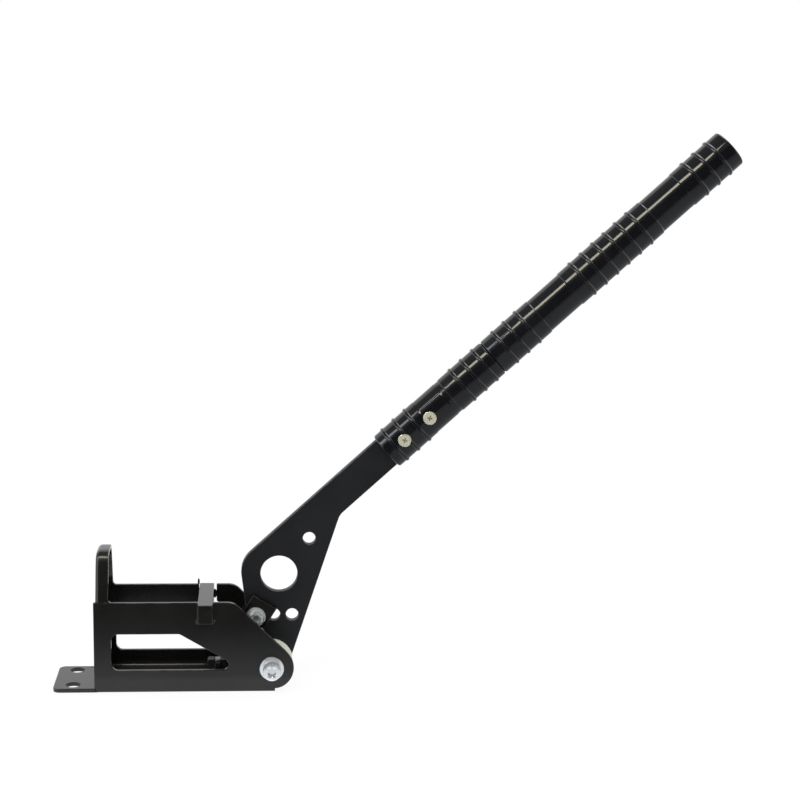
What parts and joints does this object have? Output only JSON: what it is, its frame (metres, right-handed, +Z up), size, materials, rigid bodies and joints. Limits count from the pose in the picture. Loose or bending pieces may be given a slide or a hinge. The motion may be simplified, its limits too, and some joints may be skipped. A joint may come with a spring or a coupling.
{
  "type": "parking brake lever",
  "caption": "Hand lever on a folded steel base with an arched end wall; the pulled lever pushes a cylinder rod through a bolted yoke.",
  "frame": {"origin": "on the underside of the base's floor, straight below the pivot, at mid width", "axes": "+X from the end wall towards the handle, +Y across the base away from the pivot bolt's head, +Z up, away from the floor"},
  "size_m": [0.4903, 0.0702, 0.4018],
  "materials": {
    "base_steel": "satin black coat",
    "lever_steel": "matt black coat",
    "handle_shell": "gloss black, ringed",
    "zinc_steel": "bright zinc",
    "screw_zinc": "pale yellow zinc",
    "spacer_nylon": "cream nylon",
    "bush_bronze": "sintered bronze"
  },
  "bodies": {
    "base": {"base_channel": "base_steel", "end_hoop": "base_steel", "stop_bar": "base_steel", "rest_stop_bracket": "base_steel", "rest_stop_screw": "lever_steel", "rest_stop_nut": "lever_steel", "pivot_bolt": "zinc_steel", "pivot_near_washer": "zinc_steel", "pivot_far_washer": "zinc_steel", "pivot_nut": "zinc_steel", "near_spacer": "spacer_nylon", "far_spacer": "spacer_nylon", "pivot_sleeve": "zinc_steel"},
    "lever": {"lever_plate": "lever_steel", "lever_bush": "bush_bronze", "handle_sleeve": "handle_shell", "handle_grip": "handle_shell", "handle_stud": "zinc_steel", "handle_end_plug": "handle_shell", "handle_screws": "screw_zinc"},
    "yoke": {"yoke": "base_steel", "yoke_bush": "zinc_steel", "yoke_bolt": "zinc_steel", "yoke_near_washer": "zinc_steel", "yoke_far_washer": "zinc_steel", "yoke_nut": "zinc_steel"}
  },
  "joints": [
    {"name": "lever_pivot", "type": "hinge", "parent": "base", "child": "lever", "pos_m": [0, 0, 0.0175], "axis": [0, -1, 0], "range_deg": [0, 21]},
    {"name": "yoke_pivot", "type": "hinge", "parent": "lever", "child": "yoke", "pos_m": [-0.0116, 0, 0.051], "axis": [0, 1, 0], "range_deg": [0, 55]}
  ]
}
